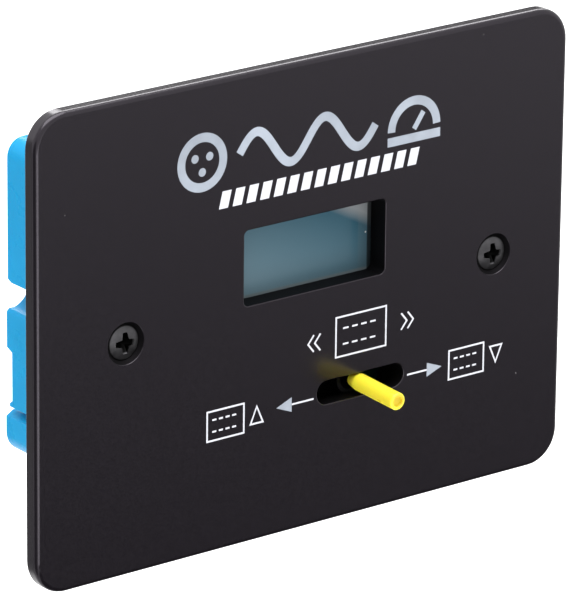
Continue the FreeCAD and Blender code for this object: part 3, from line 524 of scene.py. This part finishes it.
# Colour, then roughness.
MATERIALS = {
    "plate_plastic": plate_material(),
    "screw_black": screw_material(),
    "bracket_plastic": bracket_material(),
    "clamp_steel": metal("clamp_steel", (0.40, 0.385, 0.36), 0.38),
    "board_green": board_material(),
    "bezel_black": moulded("bezel_black", (0.008, 0.009, 0.01), 0.35),
    "display_film": film_material(),
    "display_glass": moulded("display_glass", (0.25, 0.38, 0.38), 0.1, depth=0.000001),
    "light_guide": moulded("light_guide", (0.75, 0.8, 0.75), 0.4),
    "strip_rubber": moulded("strip_rubber", (0.5, 0.45, 0.45), 0.7),
    "resin_black": moulded("resin_black", (0.01, 0.01, 0.01), 0.2),
    "header_black": moulded("header_black", (0.015, 0.015, 0.015), 0.45),
    "pin_gold": metal("pin_gold", (0.85, 0.62, 0.25), 0.25),
    "fixing_steel": metal("fixing_steel", (0.36, 0.36, 0.37), 0.38),
    "jack_black": moulded("jack_black", (0.018, 0.018, 0.02), 0.35),
    "chip_black": moulded("chip_black", (0.02, 0.02, 0.02), 0.55),
    "tinned_lead": metal("tinned_lead", (0.42, 0.42, 0.43), 0.36),
    "can_aluminium": metal("can_aluminium", (0.45, 0.46, 0.475), 0.36),
    "sleeve_blue": moulded("sleeve_blue", (0.02, 0.05, 0.15), 0.25),
    "crystal_can": metal("crystal_can", (0.40, 0.40, 0.395), 0.34),
    "resistor_black": moulded("resistor_black", (0.03, 0.03, 0.03), 0.4),
    "capacitor_tan": moulded("capacitor_tan", (0.45, 0.3, 0.17), 0.5),
    "switch_plastic": moulded("switch_plastic", (0.02, 0.02, 0.022), 0.4),
    # The switch's steel frame is painted near black: painted shade inside the slot.
    "switch_steel": metal("switch_steel", (0.012, 0.012, 0.013), 0.5),
    "contact_brass": metal("contact_brass", (0.75, 0.6, 0.35), 0.3),
    # The chrome lever is painted near black: painted shade, where it sits inside the slot.
    "lever_chrome": metal("lever_chrome", (0.035, 0.035, 0.04), 0.3),
    "cap_yellow": cap_material(),
    "plunger_white": moulded("plunger_white", (0.85, 0.85, 0.8), 0.4),
    "print_ink": moulded("print_ink", (0.60, 0.61, 0.66), 0.42, depth=0.000004),
}
TRACK_GREEN = moulded("board_track", (0.035, 0.21, 0.095), 0.26, depth=0.000002)
SILVER_INK = moulded("print_silver", (0.30, 0.335, 0.39), 0.38, depth=0.000004, spread=0.2)

SLOT_OF = {part["node"]: part["material_slot"] for part in frame["record"]["subparts"]}
for node, piece in frame["nodes"].items():
    piece.data.materials.clear()
    piece.data.materials.append(MATERIALS[SLOT_OF[node]].mat)

# ---------------------------------------------------------------- mesh helpers

MITRE_LIMIT = 0.5  # the least cosine used at a corner of a ribbon, so that sharp corners don't shoot out


def middle(node):
    """The X and Z of a node's middle, in millimetres."""
    low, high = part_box(node)
    return (low.x + high.x) / 2 / MM, (low.z + high.z) / 2 / MM


def arc(x, z, radius, start, end, steps=28):
    turns = [math.radians(start + (end - start) * k / steps) for k in range(steps + 1)]
    return [(x + radius * math.cos(t), z + radius * math.sin(t)) for t in turns]


def circle(x, z, radius, steps):
    return arc(x, z, radius, 0, 360, steps)[:-1]


class Shape:
    """Closed surfaces gathered into one mesh. Points are in millimetres."""

    def __init__(self):
        self.points = []
        self.faces = []

    def add(self, points, faces):
        start = len(self.points)
        self.points += points
        self.faces += [tuple(start + i for i in face) for face in faces]

    def prism(self, outline, y0, y1):
        """A convex outline of (x, z) points, carried from y0 to y1."""
        n = len(outline)
        points = [(x, y, z) for y in (y0, y1) for x, z in outline]
        sides = [(i, (i + 1) % n, n + (i + 1) % n, n + i) for i in range(n)]
        self.add(points, [tuple(range(n))[::-1], tuple(range(n, 2 * n))] + sides)

    def ribbon(self, path, width, y0, y1, closed=False):
        """A stroke of constant width along a path of (x, z) points, carried from y0 to y1."""
        n = len(path)
        edges = ([], [])
        for i in range(n):
            before = path[i - 1] if closed or i > 0 else path[i]
            after = path[(i + 1) % n] if closed or i < n - 1 else path[i]
            a, b = Vector(path[i]) - Vector(before), Vector(after) - Vector(path[i])
            a = a.normalized() if a.length else b.normalized()
            b = b.normalized() if b.length else a
            mitre = Vector((-(a + b).y, (a + b).x)).normalized()
            reach = width / 2 / max(MITRE_LIMIT, mitre.dot(Vector((-a.y, a.x))))
            edges[0].append(Vector(path[i]) + mitre * reach)
            edges[1].append(Vector(path[i]) - mitre * reach)
        points = [(p.x, y, p.y) for y in (y0, y1) for side in edges for p in side]
        faces = []
        for i in range(n if closed else n - 1):
            j = (i + 1) % n
            left, right, back_left, back_right = (k * n for k in range(4))
            faces.append((left + i, left + j, right + j, right + i))
            faces.append((back_left + j, back_left + i, back_right + i, back_right + j))
            faces.append((left + j, left + i, back_left + i, back_left + j))
            faces.append((right + i, right + j, back_right + j, back_right + i))
        if not closed:
            faces.append((0, n, 3 * n, 2 * n))
            faces.append((n - 1, 3 * n - 1, 4 * n - 1, 2 * n - 1)[::-1])
        self.add(points, faces)

    def lathe(self, x, z, profile, sides):
        """A profile of (radius, y) points turned about the line through (x, z) along Y, flat at both ends."""
        points = []
        for radius, y in profile:
            for k in range(sides):
                turn = 2 * math.pi * k / sides
                points.append((x + radius * math.cos(turn), y, z + radius * math.sin(turn)))
        faces = []
        for row in range(len(profile) - 1):
            for k in range(sides):
                j = (k + 1) % sides
                a, b = row * sides, (row + 1) * sides
                faces.append((a + k, a + j, b + j, b + k))
        faces.append(tuple(range(sides))[::-1])
        faces.append(tuple((len(profile) - 1) * sides + k for k in range(sides)))
        self.add(points, faces)

    def build(self, name, slot, body, smooth=False, finish=None):
        mesh = bpy.data.meshes.new(name)
        mesh.from_pydata([tuple(c * MM for c in p) for p in self.points], [], self.faces)
        mesh.validate()
        made = bpy.data.objects.new(name, mesh)
        bpy.context.scene.collection.objects.link(made)
        mesh.materials.append((finish or MATERIALS[slot]).mat)
        for face in mesh.polygons:
            face.use_smooth = smooth
        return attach(made, body)


# ---------------------------------------------------------------- marks printed on the plate, in millimetres

INK_FRONT = FRONT - 0.02
INK_BACK = FRONT + 0.02
RING_STEPS = 40
DOT_STEPS = 20


class Print(Shape):
    """Flat marks on the face of the plate."""

    def stroke(self, path, width, closed=False):
        self.ribbon(path, width, INK_FRONT, INK_BACK, closed)

    def fill(self, outline):
        self.prism(outline, INK_FRONT, INK_BACK)

    def ring(self, x, z, radius, width):
        self.stroke(circle(x, z, radius, RING_STEPS), width, closed=True)

    def dot(self, x, z, radius):
        self.fill(circle(x, z, radius, DOT_STEPS))

    def frame(self, x0, x1, z0, z1, width):
        self.stroke([(x0, z0), (x1, z0), (x1, z1), (x0, z1)], width, closed=True)

    def lay(self, name, finish=None):
        self.build(name, "print_ink", "housing", finish=finish)


TITLE_Z = 30.3
TITLE_STROKE = 1.7
SOCKET_X, SOCKET_R = -25.2, 4.6
SOCKET_HOLES = ((-1.6, 0.9), (1.6, 0.9), (0.0, -1.8))
SOCKET_HOLE_R = 0.8
WAVE_X0, WAVE_X1, WAVE_HEIGHT = -17.0, 13.5, 3.5
WAVE_CYCLES, WAVE_STEPS = 2, 72
GAUGE_X, GAUGE_Z, GAUGE_R = 22.4, TITLE_Z - 2.4, 5.2
GAUGE_FOOT_Z = TITLE_Z - 4.2
NEEDLE_STROKE = 1.1
NEEDLE = ((GAUGE_X, TITLE_Z - 2.6), (GAUGE_X + 2.1, TITLE_Z + 0.4))


def title_marks():
    """A socket, two cycles of a wave and a gauge."""
    ink = Print()
    ink.ring(SOCKET_X, TITLE_Z, SOCKET_R, TITLE_STROKE)
    for x, z in SOCKET_HOLES:
        ink.dot(SOCKET_X + x, TITLE_Z + z, SOCKET_HOLE_R)
    wave = []
    for k in range(WAVE_STEPS + 1):
        x = WAVE_X0 + (WAVE_X1 - WAVE_X0) * k / WAVE_STEPS
        wave.append((x, TITLE_Z + WAVE_HEIGHT * math.sin(2 * math.pi * WAVE_CYCLES * k / WAVE_STEPS)))
    ink.stroke(wave, TITLE_STROKE)
    ink.stroke(arc(GAUGE_X, GAUGE_Z, GAUGE_R, 0, 180), TITLE_STROKE)
    reach = GAUGE_R + TITLE_STROKE / 2
    ink.stroke([(GAUGE_X - reach, GAUGE_FOOT_Z), (GAUGE_X + reach, GAUGE_FOOT_Z)], TITLE_STROKE)
    ink.stroke(NEEDLE, NEEDLE_STROKE)
    ink.lay("print_title", SILVER_INK)


ROW_X0, ROW_X1, ROW_Z0, ROW_Z1 = -21.5, 24.0, 20.9, 24.1
ROW_BARS = 15
BAR_SHARE = 0.66  # of the pitch
BAR_LEAN = 0.8


def row_marks():
    """A row of slanting bars under the title."""
    ink = Print()
    pitch = (ROW_X1 - ROW_X0) / ROW_BARS
    for k in range(ROW_BARS):
        left = ROW_X0 + pitch * k
        right = left + pitch * BAR_SHARE
        ink.fill([(left, ROW_Z0), (right, ROW_Z0), (right + BAR_LEAN, ROW_Z1), (left + BAR_LEAN, ROW_Z1)])
    ink.lay("print_row")


LABEL_STROKE = 0.34
LINE_LEVELS = (0.2, -0.2)  # of the height, from the middle
LINE_HALF = 0.36  # of the width
LINE_DASHES = 4
DASH = 0.11  # of the width


def display_mark(ink, x, z, wide, high):
    """A small outline of the display with two lines of characters."""
    ink.frame(x - wide / 2, x + wide / 2, z - high / 2, z + high / 2, LABEL_STROKE)
    for level in LINE_LEVELS:
        line = z + high * level
        for k in range(LINE_DASHES):
            start = x - wide * LINE_HALF + wide * 2 * LINE_HALF * k / LINE_DASHES
            ink.stroke([(start, line), (start + wide * DASH, line)], LABEL_STROKE)


SLOT_LABEL_X, SLOT_LABEL_Z = 10.9, -8.7
SLOT_LABEL_W, SLOT_LABEL_H = 11.5, 7.6
CHEVRON_REACHES = (10.6, 12.1)
CHEVRON_W, CHEVRON_HALF = 1.3, 1.6


def slot_label():
    """The display between two pairs of chevrons, for the toggle's two ways."""
    ink = Print()
    display_mark(ink, SLOT_LABEL_X, SLOT_LABEL_Z, SLOT_LABEL_W, SLOT_LABEL_H)
    low, high = SLOT_LABEL_Z - CHEVRON_HALF, SLOT_LABEL_Z + CHEVRON_HALF
    for way in (-1, 1):
        for reach in CHEVRON_REACHES:
            tip = SLOT_LABEL_X + way * reach
            corner = tip - way * CHEVRON_W
            ink.stroke([(corner, high), (tip, SLOT_LABEL_Z), (corner, low)], LABEL_STROKE)
    ink.lay("print_slot_label")


SIDE_LABEL_Z = -19.6
SIDE_LABEL_W, SIDE_LABEL_H = 8.2, 5.6
SIDE_MARK_X = -1.9  # from the middle of the label
TRIANGLE_X = (3.7, 5.1, 6.5)
TRIANGLE_HALF = 1.6


def side_label(name, x, way):
    """A display with a triangle that points up (way 1) or down (way -1)."""
    ink = Print()
    display_mark(ink, x + SIDE_MARK_X, SIDE_LABEL_Z, SIDE_LABEL_W, SIDE_LABEL_H)
    base, tip = SIDE_LABEL_Z - way * TRIANGLE_HALF, SIDE_LABEL_Z + way * TRIANGLE_HALF
    left, centre, right = (x + offset for offset in TRIANGLE_X)
    ink.stroke([(left, base), (centre, tip), (right, base)], LABEL_STROKE, closed=True)
    ink.lay(name)


ARROW_Z = -19.35
ARROW_LAP = 0.1  # how far the shaft runs into the head


def arrow(name, tail, base, tip, half):
    way = 1 if tip > tail else -1
    shaft = Print()
    shaft.stroke([(tail, ARROW_Z), (base + way * ARROW_LAP, ARROW_Z)], LABEL_STROKE)
    shaft.lay(name + "_shaft")
    head = Print()
    head.fill([(base, ARROW_Z + half), (base, ARROW_Z - half), (tip, ARROW_Z)][::way])
    head.lay(name + "_head", SILVER_INK)


title_marks()
row_marks()
slot_label()
side_label("print_left_label", x=-17.8, way=1)
side_label("print_right_label", x=37.6, way=-1)
arrow("print_arrow_left", tail=0.2, base=-4.8, tip=-8.3, half=1.4)
arrow("print_arrow_right", tail=21.8, base=26.4, tip=29.9, half=1.35)

# ---------------------------------------------------------------- threads of the clamp screws

CLAMP_PITCH = 0.79
SHANK_R = 1.75
SHANK_Y0, SHANK_Y1 = 0.45, 25.75
HEAD_UNDERSIDE = 0.56
THREAD_ROOT = 0.78  # of the screw's radius
THREAD_TIP = 0.62  # of the thread's radius, at the very end of the screw
THREAD_STEPS = 8  # rows of points for each turn
THREAD_SIDES = 28
WELD = 0.000001


def thread(shape, x, z):
    """A screw's shank with a ridge wound round it, closed at both ends and chamfered at the tip."""
    length = SHANK_Y1 - SHANK_Y0
    rows = int(length / CLAMP_PITCH * THREAD_STEPS)
    points = []
    for row in range(rows + 1):
        y = SHANK_Y0 + length * row / rows
        chamfer = min(1.0, THREAD_TIP + (1 - THREAD_TIP) * (SHANK_Y1 - y) / CLAMP_PITCH)
        for k in range(THREAD_SIDES):
            phase = ((y - SHANK_Y0) / CLAMP_PITCH - k / THREAD_SIDES) % 1.0
            ridge = 1 - abs(2 * phase - 1)
            r = SHANK_R * (THREAD_ROOT + (1 - THREAD_ROOT) * ridge) * chamfer
            turn = 2 * math.pi * k / THREAD_SIDES
            points.append((x + r * math.cos(turn), y, z + r * math.sin(turn)))
    faces = []
    for row in range(rows):
        for k in range(THREAD_SIDES):
            j = (k + 1) % THREAD_SIDES
            a, b = row * THREAD_SIDES, (row + 1) * THREAD_SIDES
            faces.append((a + k, b + k, b + j, a + j))
    faces.append(tuple(range(THREAD_SIDES)))
    faces.append(tuple(rows * THREAD_SIDES + k for k in range(THREAD_SIDES))[::-1])
    shape.add(points, faces)


def threaded_screw(side):
    """The clamp screw's own head, cut off below its underside and closed, on a shank with a thread."""
    node = "clamp_screw_" + side
    head = bmesh.new()
    head.from_mesh(frame["nodes"][node].data)
    bmesh.ops.remove_doubles(head, verts=head.verts, dist=WELD)
    below = [v for v in head.verts if v.co.y > HEAD_UNDERSIDE * MM]
    bmesh.ops.delete(head, geom=below, context="VERTS")
    bmesh.ops.holes_fill(head, edges=[e for e in head.edges if e.is_boundary])
    bmesh.ops.recalc_face_normals(head, faces=head.faces)
    shape = Shape()
    points = [tuple(c / MM for c in v.co) for v in head.verts]
    shape.add(points, [tuple(v.index for v in f.verts) for f in head.faces])
    head.free()
    thread(shape, *middle(node))
    made = shape.build("threaded_screw_" + side, "clamp_steel", "screw_" + side)
    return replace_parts(made, node)


for side in ("left", "right"):
    threaded_screw(side)

# ---------------------------------------------------------------- the back of the main board, in millimetres

BOARD_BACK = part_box("main_board")[1].y / MM
COPPER = 0.04  # how far tracks, pads and print stand off the board
SINK_IN = 0.03
TRACK_W = 0.45
OUTLINE_W = 0.2
CIRCLE_STEPS = 28
PIN_PITCH = 2.54
PIN_HALF = 0.23
HEADER_PINS = 8
TERMINAL_HALF = 0.5
LEAD_PITCH = 1.27
LEADS = 14


class Layer(Shape):
    """Flat shapes on the back of the main board."""

    def track(self, path, width=TRACK_W, closed=False):
        self.ribbon(path, width, BOARD_BACK - SINK_IN, BOARD_BACK + COPPER, closed)

    def ring(self, x, z, radius, width):
        self.track(circle(x, z, radius, CIRCLE_STEPS), width, closed=True)

    def frame(self, x, z, wide, high):
        corners = ((-1, -1), (1, -1), (1, 1), (-1, 1))
        self.track([(x + sx * wide / 2, z + sz * high / 2) for sx, sz in corners], OUTLINE_W, closed=True)


def header_points():
    """The pins of the header, column by column and upward."""
    low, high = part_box("header_pins")
    first_z = low.z / MM + PIN_HALF
    columns = (low.x / MM + PIN_HALF, high.x / MM - PIN_HALF)
    return [(x, first_z + PIN_PITCH * k) for x in columns for k in range(HEADER_PINS)]


def terminal_points():
    x, z = middle("switch_terminals")
    low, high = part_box("switch_terminals")
    reach = (high.x - low.x) / MM / 2 - TERMINAL_HALF
    return [(x - reach, z), (x, z), (x + reach, z)]


PIN_JOINT = (0.92, 0.75)  # radius and height
TERMINAL_JOINT = (1.35, 1.1)
JOINT_ROWS = 5
JOINT_SIDES = 20
JOINT_HOLLOW = 1.7  # how strongly the fillet sinks in
JOINT_TOP = 0.34  # of the radius


def solder_joints():
    shape = Shape()
    for places, (radius, high) in ((header_points(), PIN_JOINT), (terminal_points(), TERMINAL_JOINT)):
        profile = []
        for k in range(JOINT_ROWS + 1):
            t = k / JOINT_ROWS
            r = radius * (1 - t) ** JOINT_HOLLOW + JOINT_TOP * radius * t
            profile.append((r, BOARD_BACK - SINK_IN + high * t))
        for x, z in places:
            shape.lathe(x, z, profile, JOINT_SIDES)
    shape.build("solder_joints", "tinned_lead", "housing", smooth=True)


BOARD_SCREWS = ((-33.0, -12.0), (33.0, -21.5), (33.0, 14.5), (-33.0, 21.0))
PAD_R, PAD_W = 2.85, 0.9


def pads():
    """Bare rings round the board's four screws."""
    shape = Layer()
    for x, z in BOARD_SCREWS:
        shape.ring(x, z, PAD_R, PAD_W)
    shape.build("screw_pads", "tinned_lead", "housing")


CHAMFER = 1.2  # where a track turns down to the controller
PIN_LAP, LEAD_LAP, TERMINAL_LAP = 0.8, 0.2, 1.2  # from the middle of a pad to where its track begins
LOW_DROP, LOW_STEP, LOW_X = 1.6, 0.9, -21.0  # the tracks that pass under the controller
SWITCH_RISE = 4.0
JACK_RISE, JACK_X, JACK_Z = 2.0, 25.5, 6.0


def tracks():
    """Copper under the lacquer: from the controller to the header, the switch and the jack."""
    shape = Layer()
    low, high = (corner.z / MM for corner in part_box("controller_leads"))
    upper, lower = high - LEAD_LAP, low + LEAD_LAP
    chip_x = middle("controller_chip")[0]
    leads = [chip_x + (k - (LEADS - 1) / 2) * LEAD_PITCH for k in range(LEADS)]
    pins = header_points()[HEADER_PINS:]
    for k in range(2):
        x, z = pins[HEADER_PINS - 1 - k]
        lead = leads[k + 1]
        shape.track([(x + PIN_LAP, z), (lead - CHAMFER, z), (lead, z - CHAMFER), (lead, upper)])
    for k in range(3):
        x, z = pins[k]
        level = low - LOW_DROP - LOW_STEP * k
        turn = LOW_X + k
        down = (turn + abs(z - level), level)
        shape.track([(x + PIN_LAP, z), (turn, z), down, (leads[k], level), (leads[k], lower)])
    for k, (x, z) in enumerate(terminal_points()):
        lead = leads[5 + k]
        rise = z + SWITCH_RISE + k
        shape.track([(x, z + TERMINAL_LAP), (x, rise), (lead, rise + abs(lead - x)), (lead, lower)])
    for k in range(3):
        lead = leads[LEADS - 1 - k]
        level = high + JACK_RISE + k
        shape.track([(lead, upper), (lead, level), (JACK_X + k, level), (JACK_X + k, JACK_Z)])
    shape.build("board_tracks", "board_green", "housing", finish=TRACK_GREEN)


OUTLINE_GAPS = {"cable_jack": 0.6, "controller_chip": 0.5, "crystal": 0.5, "voltage_regulator": 0.5}
CAN_RING_R = 3.7
HEADER_FRAME = (5.2, PIN_PITCH * HEADER_PINS + 0.4)
SWITCH_FRAME = (13.2, 7.2)


def board_print():
    """White outlines round the parts."""
    shape = Layer()
    for node, gap in OUTLINE_GAPS.items():
        low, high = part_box(node)
        shape.frame(*middle(node), (high.x - low.x) / MM + 2 * gap, (high.z - low.z) / MM + 2 * gap)
    shape.ring(*middle("capacitor_can"), CAN_RING_R, OUTLINE_W)
    shape.frame(*middle("header_pins"), *HEADER_FRAME)
    shape.frame(*middle("switch_terminals"), *SWITCH_FRAME)
    shape.build("board_print", "print_ink", "housing")


solder_joints()
pads()
tracks()
board_print()

# ---------------------------------------------------------------- soft edges on the bracket and clamps

EDGE = 0.00022
EDGE_SEGMENTS = 2
EDGE_ANGLE = math.radians(40)
for node in ("wall_bracket", "swing_clamp_left", "swing_clamp_right"):
    bevel = frame["nodes"][node].modifiers.new("edges", "BEVEL")
    bevel.width = EDGE
    bevel.segments = EDGE_SEGMENTS
    bevel.limit_method = "ANGLE"
    bevel.angle_limit = EDGE_ANGLE
    bevel.harden_normals = False
